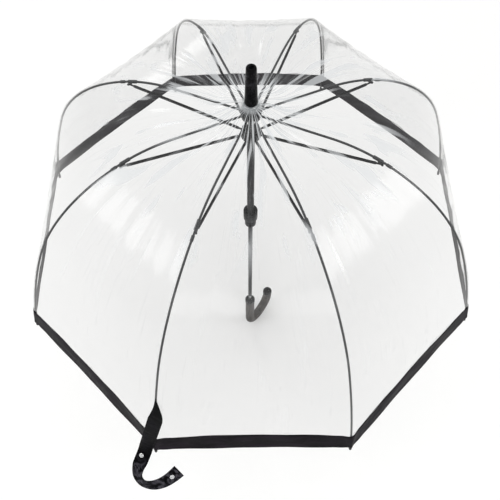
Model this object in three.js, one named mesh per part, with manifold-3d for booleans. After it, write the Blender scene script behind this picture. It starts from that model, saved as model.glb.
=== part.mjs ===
// A clear dome umbrella on a stick, open, in millimetres with +Z up along the shaft.
// The origin is the middle of the straight grip, on the shaft's axis.
import * as THREE from 'three';
import { mergeVertices } from 'three/addons/utils/BufferGeometryUtils.js';
import Module from 'manifold-3d';

const wasm = await Module();
wasm.setup();

// ---------------------------------------------------------------- driving dimensions
const ribCount = 8;
const firstRibAngle = -112.5;          // degrees about +Z, the rib that carries the tie strap
const clear = 0.3;                     // gap kept between pieces that touch

const hubHeight = 728;                 // rib pivots
const pivotRadius = 13;                // rib pivots and stretcher pivots, from the axis
const flangeRadius = 15.4;             // crown's and runner's slotted heads
const ribRadius = 1.75;
// The rib's line: lengths, and the slope below horizontal at the end of each, in degrees
const ribStartSlope = 0.3;
const straightLength = 110;
const shoulderLength = 85;             // ends at the rib joint over the stretcher's pivot
const shoulderSlope = 23.2;
const middleLength = 233;
const middleSlope = 67;
const outerLength = 234;               // to the end of the rib's cap
const tipSlope = 78.8;

const stretcherDrop = 4.8;             // stretcher's outer pivot below the rib's line
const foldAngle = 81;                  // rib swing from open to closed

const shaftRadius = 4.3;
const shaftBore = 3.5;
const shaftTop = hubHeight + 62;
const shaftFoot = -8;
const slidingBore = shaftRadius + 0.35;
const seatBore = shaftRadius + clear;

const notchTop = hubHeight + 18;
const washerTop = notchTop + 5;
const ferruleLength = 70;

const collarTop = 459;                 // top rim of the runner's cup
const cupHeight = 26;
const ringHeight = 21;
const collarFoot = collarTop - cupHeight - ringHeight;
const tubeRadius = 6.3;
const tubeBore = 5.5;
const lipHeight = 2.4;
const catchReach = 5.2;                // how far a catch's tooth stands from the axis

const handleTop = 60;
const handleCollarHeight = 12;
const gripRadius = 10.5;
const crookRadius = 38;
const crookFoot = -100;
const crookAngle = 54;                 // the way the crook turns, degrees about +Z
const crookTip = -26;

const filmOffset = 3.3;                // film's inner face above the rib's line
const filmThickness = 0.3;
const hemWidth = 43;
const hemLift = 16;                    // hem's lower edge, back from the end of the rib's cap
const hemArches = [11, 8, 5];          // how far its upper edge, middle and lower edge rise between two ribs
const hemInside = 2.9;                 // hem's faces above the rib's line
const hemOutside = 4.3;
const capLength = 12;
const capRadius = 2.6;

const strapWidth = 25;
const strapThickness = 0.8;
const strapLift = 6;                   // strap's middle above the rib's line

// ---------------------------------------------------------------- materials
const finish = (color, roughness, metalness = 0, opacity = 1) =>
  new THREE.MeshStandardMaterial({ color, roughness, metalness, opacity, transparent: opacity < 1 });
const blackPlastic = finish('#17171a', 0.4);
const blackSteel = finish('#1d1e21', 0.35, 0.6);
const clearFilm = finish('#eef1f3', 0.12, 0, 0.2);
const blackVinyl = finish('#1c1a1e', 0.35);
const mottledHandle = finish('#39342f', 0.4);
const bareSteel = finish('#b9bbc0', 0.3, 0.9);

const umbrella = new THREE.Group();
const rad = THREE.MathUtils.degToRad;

// ---------------------------------------------------------------- solids
const solid = (geometry) => {
  const bare = new THREE.BufferGeometry();
  bare.setAttribute('position', geometry.getAttribute('position'));
  if (geometry.index) bare.setIndex(geometry.index);
  const merged = mergeVertices(bare, 1e-4);
  return new wasm.Manifold(new wasm.Mesh({
    numProp: 3,
    vertProperties: Float32Array.from(merged.getAttribute('position').array),
    triVerts: Uint32Array.from(merged.index.array),
  }));
};

const geometryOf = (manifold) => {
  const mesh = manifold.getMesh();
  const geometry = new THREE.BufferGeometry();
  geometry.setAttribute('position', new THREE.BufferAttribute(Float32Array.from(mesh.vertProperties), 3));
  geometry.setIndex(Array.from(mesh.triVerts));
  return geometry;
};

const join = (first, ...others) => others.reduce((sum, item) => sum.add(item), first);
const cut = (first, ...others) => others.reduce((rest, item) => rest.subtract(item), first);

// A box from its lowest to its highest corner
const block = (low, high) => {
  const size = low.map((value, axis) => high[axis] - value);
  const geometry = new THREE.BoxGeometry(...size);
  return geometry.translate(...low.map((value, axis) => (value + high[axis]) / 2));
};

// A cylinder lying along Y, centred on a point of the XZ plane
const crossBar = (radius, width, x, z, sides = 8) =>
  new THREE.CylinderGeometry(radius, radius, width, sides).translate(x, 0, z);

// A ring or plug turned about +Z from [radius, height] corners
const turned = (corners, sides = 24) => {
  const outline = corners.map(([radius, height]) => new THREE.Vector2(radius, height));
  return new THREE.LatheGeometry(outline, sides).rotateX(Math.PI / 2);
};

// A closed washer-like ring between two radii and two heights
const tubeRing = (inner, outer, low, high, sides = 24) =>
  turned([[inner, low], [outer, low], [outer, high], [inner, high], [inner, low]], sides);

const add = (name, geometry, material, parent = umbrella) => {
  const mesh = new THREE.Mesh(geometry, material);
  mesh.name = name;
  parent.add(mesh);
  return mesh;
};

// ---------------------------------------------------------------- the rib's line
// Circular arcs that run on from each other, in the rib's own plane: X outwards, Z up
const jointAt = straightLength + shoulderLength;
const elbowAt = jointAt + middleLength;
const ribLength = elbowAt + outerLength;
const ribArcs = [
  { from: 0, length: straightLength, slopes: [ribStartSlope, ribStartSlope] },
  { from: straightLength, length: shoulderLength, slopes: [ribStartSlope, shoulderSlope] },
  { from: jointAt, length: middleLength, slopes: [shoulderSlope, middleSlope] },
  { from: elbowAt, length: outerLength, slopes: [middleSlope, tipSlope] },
];

// Where an arc leads from its start, after a length along it
const alongArc = ({ length, slopes }, distance) => {
  const start = rad(slopes[0]);
  const bend = (rad(slopes[1]) - start) / length;
  const slope = start + bend * distance;
  if (Math.abs(bend) < 1e-9) {
    return { x: distance * Math.cos(start), z: -distance * Math.sin(start), slope };
  }
  return {
    x: (Math.sin(slope) - Math.sin(start)) / bend,
    z: (Math.cos(slope) - Math.cos(start)) / bend,
    slope,
  };
};

// Point and slope of the rib's line at a distance from its pivot, moved outwards by lift
const ribPoint = (distance, lift = 0) => {
  let x = pivotRadius;
  let z = hubHeight;
  let slope = rad(ribStartSlope);
  for (const arc of ribArcs) {
    if (distance <= arc.from) break;
    const last = arc === ribArcs[ribArcs.length - 1];
    const run = last ? distance - arc.from : Math.min(distance - arc.from, arc.length);
    const step = alongArc(arc, run);
    x += step.x;
    z += step.z;
    slope = step.slope;
  }
  return { x: x + lift * Math.sin(slope), z: z + lift * Math.cos(slope), slope };
};

class RibLine extends THREE.Curve {
  constructor(from, to) {
    super();
    this.from = from;
    this.to = to;
  }

  getPoint(share, target = new THREE.Vector3()) {
    const { x, z } = ribPoint(this.from + (this.to - this.from) * share);
    return target.set(x, 0, z);
  }
}

const disc = (radius, sides) => {
  const corners = [];
  for (let side = 0; side < sides; side += 1) {
    const turn = (2 * Math.PI * (side + 0.5)) / sides;
    corners.push(new THREE.Vector2(radius * Math.cos(turn), radius * Math.sin(turn)));
  }
  return new THREE.Shape(corners);
};

const rod = (from, to, steps, radius = ribRadius, sides = 6) =>
  new THREE.ExtrudeGeometry(disc(radius, sides), {
    steps, extrudePath: new RibLine(from, to), bevelEnabled: false,
  });

// Knuckle between two lengths of rib: a tongue on one, a fork on the other
const tongueHalf = 0.6;
const forkHalf = 0.85;
const knuckleReach = 2.2;
const slabAt = (point, low, high) => {
  const slab = block([-knuckleReach, low, -6], [knuckleReach, high, 6]);
  return solid(slab.rotateY(point.slope).translate(point.x, 0, point.z));
};
const tongueCuts = (point) => [slabAt(point, tongueHalf, 4), slabAt(point, -4, -tongueHalf)];
const forkCuts = (point) => [slabAt(point, -forkHalf, forkHalf)];

const joint = ribPoint(jointAt);
const elbow = ribPoint(elbowAt);
const stretcherPivot = ribPoint(jointAt, -stretcherDrop);
const stretcherLength = Math.hypot(stretcherPivot.x - pivotRadius, hubHeight - stretcherPivot.z);
const stretcherSlope = Math.asin((hubHeight - stretcherPivot.z) / stretcherLength);
const runnerHeight = hubHeight - 2 * stretcherLength * Math.sin(stretcherSlope);

const eyeRadius = 2.4;
const wireRadius = 0.5;
const sleeveRadius = 2.7;
const sleeveLength = 16;
const earHalf = [1.15, 2.0];

// A straight sleeve round the rib, centred at a distance along it
const sleeveAt = (middle, length) => {
  const point = ribPoint(middle);
  const sleeve = new THREE.CylinderGeometry(sleeveRadius, sleeveRadius, length, 8);
  return solid(sleeve.rotateZ(-Math.PI / 2).rotateY(point.slope).translate(point.x, 0, point.z));
};

const ribInner = () => {
  const eye = solid(crossBar(eyeRadius, 2.4, pivotRadius, hubHeight));
  const knuckle = solid(crossBar(ribRadius, 2 * ribRadius, joint.x, joint.z));
  const line = join(solid(rod(0, jointAt, 6)), eye, knuckle);
  const bare = cut(line, ...tongueCuts(joint), solid(crossBar(0.8, 12, pivotRadius, hubHeight)));
  const sleeve = sleeveAt(jointAt - 3 - sleeveLength / 2, sleeveLength);
  // Two ears under the sleeve hold the stretcher's pin
  const ears = [1, -1].map((side) => {
    const ends = earHalf.map((value) => side * value).sort((a, b) => a - b);
    const plate = block([-9, ends[0], -2.2], [0, ends[1], 5.2]);
    plate.rotateY(joint.slope).translate(stretcherPivot.x, 0, stretcherPivot.z);
    const round = new THREE.CylinderGeometry(2.2, 2.2, ends[1] - ends[0], 8);
    round.translate(stretcherPivot.x, (ends[0] + ends[1]) / 2, stretcherPivot.z);
    const clearance = crossBar(knuckleReach, 12, joint.x, joint.z);
    return cut(join(solid(plate), solid(round)), solid(clearance));
  });
  const pin = solid(crossBar(0.8, 2 * earHalf[1], stretcherPivot.x, stretcherPivot.z));
  return geometryOf(join(bare, sleeve, ...ears, pin));
};

const ribMiddle = () => {
  const knuckles = [joint, elbow].map(({ x, z }) => solid(crossBar(ribRadius, 2 * ribRadius, x, z)));
  const line = join(solid(rod(jointAt, elbowAt, 8)), ...knuckles);
  const collar = sleeveAt(jointAt + 4 + 4.5, 9);
  return geometryOf(cut(join(line, collar), ...forkCuts(joint), ...tongueCuts(elbow)));
};

const ribOuter = () => {
  const knuckle = solid(crossBar(ribRadius, 2 * ribRadius, elbow.x, elbow.z));
  const line = join(solid(rod(elbowAt, ribLength - capLength - clear, 5)), knuckle);
  return geometryOf(cut(line, ...forkCuts(elbow)));
};

// The moulded cap on the rib's end, with a rounded nose
const ribCap = () => {
  const end = ribPoint(ribLength - capLength);
  const profile = [[0, 0], [2.2, 0], [capRadius, 1], [capRadius, 9], [2.2, 11], [1.2, 11.8], [0, 12]];
  const cap = turned(profile, 8);
  return cap.rotateY(Math.PI / 2 + end.slope).translate(end.x, 0, end.z);
};

// A steel channel with a moulded end at each pivot, lying along +X from the runner's pivot
const stretcher = () => {
  const web = 0.5;
  const half = 1.7;
  const channel = cut(
    solid(block([14, -half, -half], [stretcherLength - 24, half, half])),
    solid(block([16, -half + web, -half - 1], [stretcherLength - 27, half - web, half - web])),
  );
  const innerEnd = join(
    solid(crossBar(2.2, 2.4, 0, 0)),
    solid(block([0, -1.2, -1.6], [10, 1.2, 1.6])),
    solid(block([6, -1.9, -1.9], [15, 1.9, 1.9])),
  );
  const outerEnd = join(
    solid(block([stretcherLength - 26, -1.9, -1.9], [stretcherLength - 8, 1.9, 1.9])),
    solid(block([stretcherLength - 9, -0.85, -1.5], [stretcherLength, 0.85, 1.5])),
    solid(crossBar(1.5, 1.7, stretcherLength, 0)),
  );
  const holes = [solid(crossBar(0.8, 12, 0, 0)), solid(crossBar(1.05, 12, stretcherLength, 0))];
  return geometryOf(cut(join(channel, innerEnd, outerEnd), ...holes));
};

const ribParts = {
  rib_inner: [ribInner(), blackSteel],
  rib_middle: [ribMiddle(), blackSteel],
  rib_outer: [ribOuter(), blackSteel],
  rib_cap: [ribCap(), blackPlastic],
};
const stretcherGeometry = stretcher();
const ribAngles = Array.from({ length: ribCount }, (_, k) => rad(firstRibAngle + (360 / ribCount) * k));

ribAngles.forEach((angle, k) => {
  const arm = new THREE.Group();
  arm.rotation.z = angle;
  umbrella.add(arm);
  for (const [name, [geometry, material]] of Object.entries(ribParts)) {
    add(`${name}_${k + 1}`, geometry, material, arm);
  }
  const strut = add(`stretcher_${k + 1}`, stretcherGeometry, blackSteel, arm);
  strut.position.set(pivotRadius, 0, runnerHeight);
  strut.rotation.y = -stretcherSlope;
});

// ---------------------------------------------------------------- crown, at the top of the shaft
const slotHalf = 2.2;
const slotRoot = 9.3;
// Eight slots that the ribs or stretchers swing in, between two heights
const radialSlots = (low, high) => ribAngles.map((angle) =>
  solid(block([slotRoot, -slotHalf, low], [30, slotHalf, high]).rotateZ(angle)));

const wireRing = (height) => {
  const section = [];
  const sides = 5;
  for (let side = 0; side <= sides; side += 1) {
    const turn = (2 * Math.PI * (side % sides)) / sides;
    section.push([pivotRadius + wireRadius * Math.cos(turn), height + wireRadius * Math.sin(turn)]);
  }
  return turned(section, 32);
};

const pinHeight = hubHeight + 11;
const pinRadius = 1;
const pinBore = (extra = clear) => solid(crossBar(pinRadius + extra, 60, 0, pinHeight, 8));

const topNotch = () => {
  const foot = hubHeight - 7;
  const body = solid(turned([
    [seatBore, foot], [flangeRadius - 1, foot], [flangeRadius, foot + 2], [flangeRadius, hubHeight + 5],
    [12, notchTop],
    [seatBore, notchTop], [seatBore, foot],
  ]));
  const groove = solid(tubeRing(12.2, 13.8, foot - 1, hubHeight + 0.8));
  return geometryOf(cut(body, groove, pinBore(), ...radialSlots(foot - 1, hubHeight + 2.8)));
};
add('top_notch', topNotch(), blackPlastic);
add('notch_wire', wireRing(hubHeight), bareSteel);
add('notch_pin', new THREE.CylinderGeometry(pinRadius, pinRadius, 24, 8).translate(0, 0, pinHeight), bareSteel);
add('canopy_washer', tubeRing(seatBore, 11.5, notchTop + 1, washerTop), clearFilm);

const ferrule = () => {
  const foot = washerTop + 0.4;
  const top = foot + ferruleLength;
  return turned([
    [seatBore, foot], [9.6, foot], [10, foot + 1], [10, foot + 3], [7.6, top - 2], [6.8, top],
    [3.6, top], [3.2, top - 4], [0, top - 4], [0, shaftTop + 1], [seatBore, shaftTop + 1],
    [seatBore, foot],
  ], 24);
};
add('ferrule', ferrule(), blackPlastic);

// ---------------------------------------------------------------- runner
const tube = { foot: collarFoot, top: runnerHeight - 7 };
const windowHeight = 9;
const lipTop = tube.foot + lipHeight;
const runner = () => {
  const headFoot = runnerHeight - 9;
  const headTop = runnerHeight + 7;
  const body = solid(turned([
    [slidingBore, tube.foot], [tubeRadius, tube.foot], [tubeRadius, headFoot - 6], [11, headFoot],
    [flangeRadius - 1, headFoot], [flangeRadius, headFoot + 2], [flangeRadius, headTop - 2],
    [flangeRadius - 1, headTop], [slidingBore, headTop], [slidingBore, headFoot - 6],
    [tubeBore, headFoot - 8], [tubeBore, lipTop], [slidingBore, lipTop], [slidingBore, tube.foot],
  ]));
  const groove = solid(tubeRing(12.2, 13.8, runnerHeight - 0.8, headTop + 1));
  const keyway = solid(block([-1.4, -tubeBore, headFoot - 9], [1.4, 0, headTop + 1]));
  const thumbWindow = solid(block([-2.4, -20, lipTop + 0.5], [2.4, 0, lipTop + windowHeight]));
  return geometryOf(cut(body, groove, keyway, thumbWindow, ...radialSlots(runnerHeight - 2.8, headTop + 1)));
};
add('runner', runner(), blackPlastic);
add('runner_wire', wireRing(runnerHeight), bareSteel);

const runnerCollar = () => {
  const bore = tubeRadius + clear;
  const cupFoot = collarFoot + ringHeight;
  const body = solid(turned([
    [bore, collarFoot], [9.8, collarFoot], [10.5, collarFoot + 1.5], [10.5, cupFoot - 1.5], [10.1, cupFoot],
    [12.4, cupFoot], [13, cupFoot + 1.5], [13, collarTop - 1], [12.4, collarTop], [11.2, collarTop],
    [11.2, collarTop - 14], [bore, collarTop - 18], [bore, collarFoot],
  ]));
  const thumbWindow = solid(block([-2.4, -20, lipTop + 0.5], [2.4, 0, lipTop + windowHeight]));
  return geometryOf(cut(body, thumbWindow));
};
add('runner_collar', runnerCollar(), blackPlastic);

// ---------------------------------------------------------------- shaft and its two spring catches
const runnerTravel = 2 * stretcherLength * (Math.sin(stretcherSlope + rad(foldAngle)) - Math.sin(stretcherSlope));
// Height of each tooth's square face, and which way its slope leads: 1 for a slope above it
const catches = {
  open_catch: { face: collarFoot - 0.4, up: -1 },
  closed_catch: { face: lipTop - runnerTravel + 0.4, up: 1 },
};
const toothHeight = 9;
const catchSlot = ({ face, up }) => {
  const ends = [face - up * 0.6, face + up * (toothHeight + 0.8)].sort((a, b) => a - b);
  return solid(block([-1.15, -20, ends[0]], [1.15, 0, ends[1]]));
};

const shaft = () => cut(
  solid(tubeRing(shaftBore, shaftRadius, shaftFoot, shaftTop, 24)),
  pinBore(),
  ...Object.values(catches).map(catchSlot),
);
add('shaft', geometryOf(shaft()), blackSteel);

// A leaf inside the tube with a tooth that stands out through the slot
const springCatch = ({ face, up }) => {
  const back = -2.6;
  const outline = new THREE.Shape([
    [back, 0], [-catchReach, 0], [-catchReach, 1], [-3.4, toothHeight], [back, toothHeight],
  ].map(([y, z]) => new THREE.Vector2(y, z)));
  const tooth = new THREE.ExtrudeGeometry(outline, { depth: 1.7, bevelEnabled: false, steps: 1 });
  // The outline lies in X and Y: turn it into Y and Z, centred on the slot
  tooth.translate(0, 0, -0.85).applyMatrix4(new THREE.Matrix4().set(
    0, 0, 1, 0,
    1, 0, 0, 0,
    0, 1, 0, 0,
    0, 0, 0, 1,
  ));
  const leaf = block([-1.1, -3.0, -4], [1.1, -2.4, toothHeight + 4]);
  const whole = geometryOf(join(solid(tooth), solid(leaf)));
  if (up < 0) whole.rotateY(Math.PI);
  return whole.translate(0, 0, face);
};
for (const [name, place] of Object.entries(catches)) add(name, springCatch(place), bareSteel);

// ---------------------------------------------------------------- handle
// Stops down the grip and round the crook to the end cap
const handleStops = () => {
  const top = new THREE.Vector3(0, 0, handleTop - handleCollarHeight - clear);
  const heart = crookFoot + gripRadius + crookRadius;
  const arc = new THREE.EllipseCurve(crookRadius, heart, crookRadius, crookRadius, Math.PI, 2 * Math.PI);
  const bend = arc.getPoints(16).map(({ x, y }) => new THREE.Vector3(x, 0, y));
  const end = new THREE.Vector3(2 * crookRadius, 0, crookTip - 12 - clear);
  return [top, ...bend, end];
};

// The stops carry the sections, so every ring of the sweep sits on one of them
class CrookLine extends THREE.Curve {
  constructor(stops) {
    super();
    this.stops = stops;
  }

  getPoint(share, target = new THREE.Vector3()) {
    const place = Math.min(share, 1) * (this.stops.length - 1);
    const index = Math.min(Math.floor(place), this.stops.length - 2);
    return target.lerpVectors(this.stops[index], this.stops[index + 1], place - index);
  }

  getPointAt(share, target) {
    return this.getPoint(share, target);
  }

  getTangent(share, target = new THREE.Vector3()) {
    const last = this.stops.length - 1;
    const index = Math.round(share * last);
    const before = this.stops[Math.max(index - 1, 0)];
    const after = this.stops[Math.min(index + 1, last)];
    return target.subVectors(after, before).normalize();
  }

  getTangentAt(share, target) {
    return this.getTangent(share, target);
  }
}

const handle = () => {
  const stops = handleStops();
  const body = new THREE.ExtrudeGeometry(disc(gripRadius, 14), {
    steps: stops.length - 1, extrudePath: new CrookLine(stops), bevelEnabled: false,
  });
  const bore = turned([[0, shaftFoot - 1], [seatBore, shaftFoot - 1], [seatBore, 80], [0, 80]], 24);
  return geometryOf(cut(solid(body), solid(bore))).rotateZ(rad(crookAngle));
};
add('handle', handle(), mottledHandle);
add('handle_collar', turned([
  [seatBore, handleTop - handleCollarHeight], [11.2, handleTop - handleCollarHeight], [11.2, handleTop - 2],
  [10.2, handleTop], [seatBore, handleTop], [seatBore, handleTop - handleCollarHeight],
]), blackPlastic);

const endCap = turned([
  [0, -12], [11, -12], [11, -5], [9.6, -2], [6, -0.4], [0, 0],
], 18).translate(2 * crookRadius, 0, crookTip).rotateZ(rad(crookAngle));
add('handle_end_cap', endCap, blackPlastic);

// ---------------------------------------------------------------- canopy and hem
// Heights of the film over the rib: flat on the crown, easing down to the rib's line by crownReach
const crownReach = 62;
const crownFlat = 19.6;
const filmPoint = (distance, lift) => {
  const point = ribPoint(distance, lift);
  const share = THREE.MathUtils.clamp((point.x - crownFlat) / (crownReach - crownFlat), 0, 1);
  const ease = 1 - share * share * (3 - 2 * share);
  const rise = notchTop + clear + (lift - filmOffset) - ribPoint(crownFlat - pivotRadius, lift).z;
  return { x: point.x, z: point.z + rise * ease };
};

// One closed shell from rows of rings: each row has a point over every rib and between every two
const ringShell = (rows) => {
  const perRing = rows[0].length;
  const positions = rows.flat().flatMap(({ x, y, z }) => [x, y, z]);
  const index = [];
  rows.forEach((_, row) => {
    const next = (row + 1) % rows.length;
    for (let i = 0; i < perRing; i += 1) {
      const j = (i + 1) % perRing;
      const [a, b, c, d] = [row * perRing + i, row * perRing + j, next * perRing + j, next * perRing + i];
      index.push(a, b, c, a, c, d);
    }
  });
  const geometry = new THREE.BufferGeometry();
  geometry.setAttribute('position', new THREE.Float32BufferAttribute(positions, 3));
  geometry.setIndex(index);
  return geometry;
};

// A ring of the canopy: straight from rib to rib, with the middle of each gore at its own place
const goreRing = (overRib, midGore) => {
  const ring = [];
  ribAngles.forEach((angle) => {
    const half = Math.PI / ribCount;
    ring.push({ x: overRib.x * Math.cos(angle), y: overRib.x * Math.sin(angle), z: overRib.z });
    const radius = midGore.x * Math.cos(half);
    ring.push({ x: radius * Math.cos(angle + half), y: radius * Math.sin(angle + half), z: midGore.z });
  });
  return ring;
};

// Rings of one face of a shell, from the first distance to the last; the edge rises between ribs by arch
const face = (distances, arches, lift) => distances.map((distance, i) =>
  goreRing(filmPoint(distance, lift), filmPoint(distance - arches[i], lift)));

const hemEdge = ribLength - hemLift;
const filmEdge = hemEdge - hemWidth - clear;
const filmStops = [crownFlat - pivotRadius, 14, 26, 48, straightLength, 140, 165, 185, 205, 235, 275, 315,
  352, 390, elbowAt, 490, 560, filmEdge];
const archStart = 300;                 // the gores' middles begin to hang back here
const filmArches = filmStops.map((distance) =>
  hemArches[0] * Math.max(0, (distance - archStart) / (filmEdge - archStart)));
const outerLift = filmOffset + filmThickness;
const mouth = (lift) => {
  const { z } = filmPoint(crownFlat - pivotRadius, lift);
  return goreRing({ x: 5.6, z }, { x: 5.6, z });
};
const canopy = ringShell([
  mouth(filmOffset), ...face(filmStops, filmArches, filmOffset),
  ...face(filmStops, filmArches, outerLift).reverse(), mouth(outerLift),
]);
add('canopy', canopy, clearFilm);

const hemStops = [hemEdge - hemWidth, hemEdge - hemWidth / 2, hemEdge];
const hem = ringShell([
  ...face(hemStops, hemArches, hemInside), ...face(hemStops, hemArches, hemOutside).reverse(),
]);
add('hem_binding', hem, blackVinyl);

// ---------------------------------------------------------------- tie strap, in the first rib's frame
// Over the film: distance along the rib, drift sideways, and how much of the gathered width is spread out
const strapOver = [
  [482, 2, 0.12], [503, 4.5, 0.5], [514, 5, 0.74], [524, 4.5, 0.9], [534, 3, 1],
  [575, -3.5, 1], [605, -8.5, 1], [640, -14.5, 1],
];
// Past the rib's tip it runs straight out and down, between these two places
const strapFree = [new THREE.Vector3(445.4, -18.1, 325.1), new THREE.Vector3(469.5, -21, 305)];
// Then it turns up again in a plane that leans out, with its own right and up, by two arcs and a straight end
const lean = {
  right: new THREE.Vector3(-0.368, 0.93, 0),
  up: new THREE.Vector3(-0.821, -0.325, 0.47),
};
const bendHeading = -107;              // degrees from that plane's right, where the first arc begins
const bends = [{ radius: 22, turn: 107, steps: 3 }, { radius: 58, turn: 41, steps: 2 }];
const strapEnd = 16;
const widthLeans = [30, 40, 42, 37, 28, 20, 12];  // degrees the width leans out of the plane, stop by stop

// Places and headings round the arcs, in the plane
const bendStops = () => {
  let heading = rad(bendHeading);
  const stops = [{ right: 0, up: 0, heading }];
  for (const { radius, turn, steps } of bends) {
    for (let step = 0; step < steps; step += 1) {
      const before = stops[stops.length - 1];
      const next = heading + rad(turn) / steps;
      stops.push({
        right: before.right + radius * (Math.sin(next) - Math.sin(heading)),
        up: before.up + radius * (Math.cos(heading) - Math.cos(next)),
        heading: next,
      });
      heading = next;
    }
  }
  const last = stops[stops.length - 1];
  stops.push({
    right: last.right + strapEnd * Math.cos(heading), up: last.up + strapEnd * Math.sin(heading), heading,
  });
  return stops;
};

const strapStations = () => {
  const half = strapWidth / 2;
  const stations = strapOver.map(([distance, drift, spread]) => {
    const { x, z } = ribPoint(distance, strapLift);
    return { at: new THREE.Vector3(x, drift, z), across: new THREE.Vector3(0, half * spread, 0) };
  });
  const [start, corner] = strapFree;
  for (const at of [start, start.clone().lerp(corner, 0.5)]) {
    stations.push({ at, across: new THREE.Vector3(0, half, 0) });
  }
  const out = new THREE.Vector3().crossVectors(lean.right, lean.up);
  bendStops().forEach(({ right, up, heading }, i) => {
    const at = corner.clone().addScaledVector(lean.right, right).addScaledVector(lean.up, up);
    const across = new THREE.Vector3()
      .addScaledVector(lean.right, -Math.sin(heading)).addScaledVector(lean.up, Math.cos(heading))
      .multiplyScalar(Math.cos(rad(widthLeans[i]))).addScaledVector(out, Math.sin(rad(widthLeans[i])));
    stations.push({ at, across: across.setLength(half) });
  });
  return stations;
};

// A ribbon of even thickness through the stations, closed at both ends
const ribbon = (stations, thickness) => {
  const positions = [];
  stations.forEach(({ at, across }, i) => {
    const before = stations[Math.max(i - 1, 0)].at;
    const after = stations[Math.min(i + 1, stations.length - 1)].at;
    const normal = new THREE.Vector3().subVectors(after, before).cross(across).normalize();
    for (const [side, face] of [[-1, -1], [1, -1], [1, 1], [-1, 1]]) {
      const corner = at.clone().addScaledVector(across, side).addScaledVector(normal, face * thickness / 2);
      positions.push(corner.x, corner.y, corner.z);
    }
  });
  const index = [0, 2, 1, 0, 3, 2];
  for (let row = 0; row + 1 < stations.length; row += 1) {
    for (let side = 0; side < 4; side += 1) {
      const a = row * 4 + side;
      const b = row * 4 + ((side + 1) % 4);
      index.push(a, b + 4, a + 4, a, b, b + 4);
    }
  }
  const last = (stations.length - 1) * 4;
  index.push(last, last + 1, last + 2, last, last + 2, last + 3);
  const geometry = new THREE.BufferGeometry();
  geometry.setAttribute('position', new THREE.Float32BufferAttribute(positions, 3));
  geometry.setIndex(index);
  return geometry;
};

const strapArm = new THREE.Group();
strapArm.rotation.z = ribAngles[0];
umbrella.add(strapArm);
const stations = strapStations();
add('tie_strap', ribbon(stations, strapThickness), blackVinyl, strapArm);

// A snap fitting on the strap's outer face, so far past one of its stations and moved sideways
const snapStandoff = 0.3;              // the ribbon isn't quite flat where a snap sits
const snapAt = (index, past, sideways, profile) => {
  const { at, across } = stations[index];
  const along = stations[index + 1].at.clone().sub(at).normalize();
  const normal = along.clone().cross(across).normalize();
  if (normal.x + normal.z < 0) normal.negate();
  const spin = new THREE.Quaternion().setFromUnitVectors(new THREE.Vector3(0, 0, 1), normal);
  const place = at.clone().addScaledVector(along, past).addScaledVector(across, (2 * sideways) / strapWidth);
  place.addScaledVector(normal, strapThickness / 2 + clear + snapStandoff);
  return turned(profile, 16).applyQuaternion(spin).translate(place.x, place.y, place.z);
};
const studProfile = [[0, 0], [4.1, 0], [4.1, 0.8], [2.2, 1.2], [2.2, 2.4], [1.6, 2.8], [0, 2.8]];
const socketProfile = [
  [0, 0], [4.1, 0], [4.1, 1.4], [3.4, 2], [2.4, 2], [2.4, 0.8], [0, 0.8],
];
const studStation = strapOver.length;  // where the strap leaves the canopy
const socketStation = stations.length - 2;
add('snap_stud', snapAt(studStation, 4.4, -2.5, studProfile), bareSteel, strapArm);
add('snap_socket', snapAt(socketStation, 0.5, 1, socketProfile), bareSteel, strapArm);

export default umbrella;
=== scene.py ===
import math

import bmesh
import bpy
import numpy as np
from mathutils import Matrix, Vector


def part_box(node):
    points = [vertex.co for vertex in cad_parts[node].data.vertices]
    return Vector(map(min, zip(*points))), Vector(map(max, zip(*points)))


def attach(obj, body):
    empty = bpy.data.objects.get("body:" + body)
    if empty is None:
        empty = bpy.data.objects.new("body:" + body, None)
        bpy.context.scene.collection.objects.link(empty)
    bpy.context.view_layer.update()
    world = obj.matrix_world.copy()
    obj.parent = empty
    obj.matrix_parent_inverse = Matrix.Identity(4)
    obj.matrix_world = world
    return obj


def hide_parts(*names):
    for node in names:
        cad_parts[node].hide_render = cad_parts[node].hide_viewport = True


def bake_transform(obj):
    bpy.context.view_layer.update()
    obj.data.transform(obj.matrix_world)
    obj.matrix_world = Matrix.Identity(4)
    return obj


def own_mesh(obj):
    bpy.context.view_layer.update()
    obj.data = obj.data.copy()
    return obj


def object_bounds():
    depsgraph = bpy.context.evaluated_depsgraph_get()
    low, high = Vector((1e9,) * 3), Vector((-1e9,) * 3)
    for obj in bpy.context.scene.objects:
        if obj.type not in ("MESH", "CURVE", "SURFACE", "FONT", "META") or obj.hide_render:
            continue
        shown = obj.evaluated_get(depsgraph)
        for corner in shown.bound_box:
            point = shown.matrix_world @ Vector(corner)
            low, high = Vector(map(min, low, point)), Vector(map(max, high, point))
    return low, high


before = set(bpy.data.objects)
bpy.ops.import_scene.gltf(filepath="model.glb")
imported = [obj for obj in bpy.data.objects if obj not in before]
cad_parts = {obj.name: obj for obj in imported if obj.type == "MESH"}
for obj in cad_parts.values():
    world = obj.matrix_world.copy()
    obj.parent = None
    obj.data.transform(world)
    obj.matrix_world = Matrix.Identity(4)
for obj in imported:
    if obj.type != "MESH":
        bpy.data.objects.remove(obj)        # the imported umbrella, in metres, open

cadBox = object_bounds()
scene = bpy.context.scene
scene.view_settings.view_transform = "Standard"
print("frame loaded")


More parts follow.
